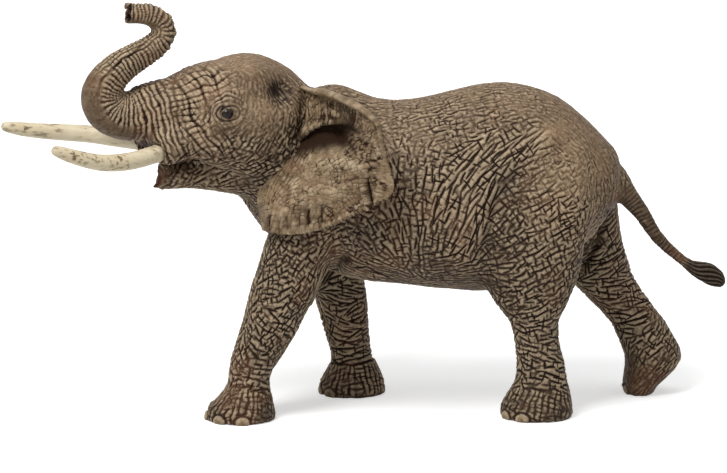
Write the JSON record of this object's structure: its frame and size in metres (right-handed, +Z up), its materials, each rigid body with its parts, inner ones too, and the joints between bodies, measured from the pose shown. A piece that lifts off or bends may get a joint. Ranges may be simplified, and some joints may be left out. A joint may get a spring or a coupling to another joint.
{
  "type": "toy wild animal figure",
  "caption": "Rigid moulded toy figure of a walking African bull elephant, trunk raised, with tusks, spread ears and a tufted tail.",
  "frame": {"origin": "centre of the bounding box on the ground plane that the feet stand on", "axes": "+Z up; the elephant walks towards -X; +Y is its right side"},
  "size_m": [0.208, 0.0888, 0.1203],
  "materials": {
    "skin": "matte painted vinyl",
    "ivory": "satin painted vinyl",
    "eye": "gloss"
  },
  "bodies": {
    "root": {"torso_left_shell": "skin", "torso_right_shell": "skin", "head": "skin", "lower_jaw": "skin", "trunk": "skin", "left_tusk": "ivory", "right_tusk": "ivory", "left_ear": "skin", "right_ear": "skin", "left_eye": "eye", "right_eye": "eye", "left_foreleg": "skin", "right_foreleg": "skin", "left_hindleg": "skin", "right_hindleg": "skin", "tail": "skin"}
  },
  "joints": []
}
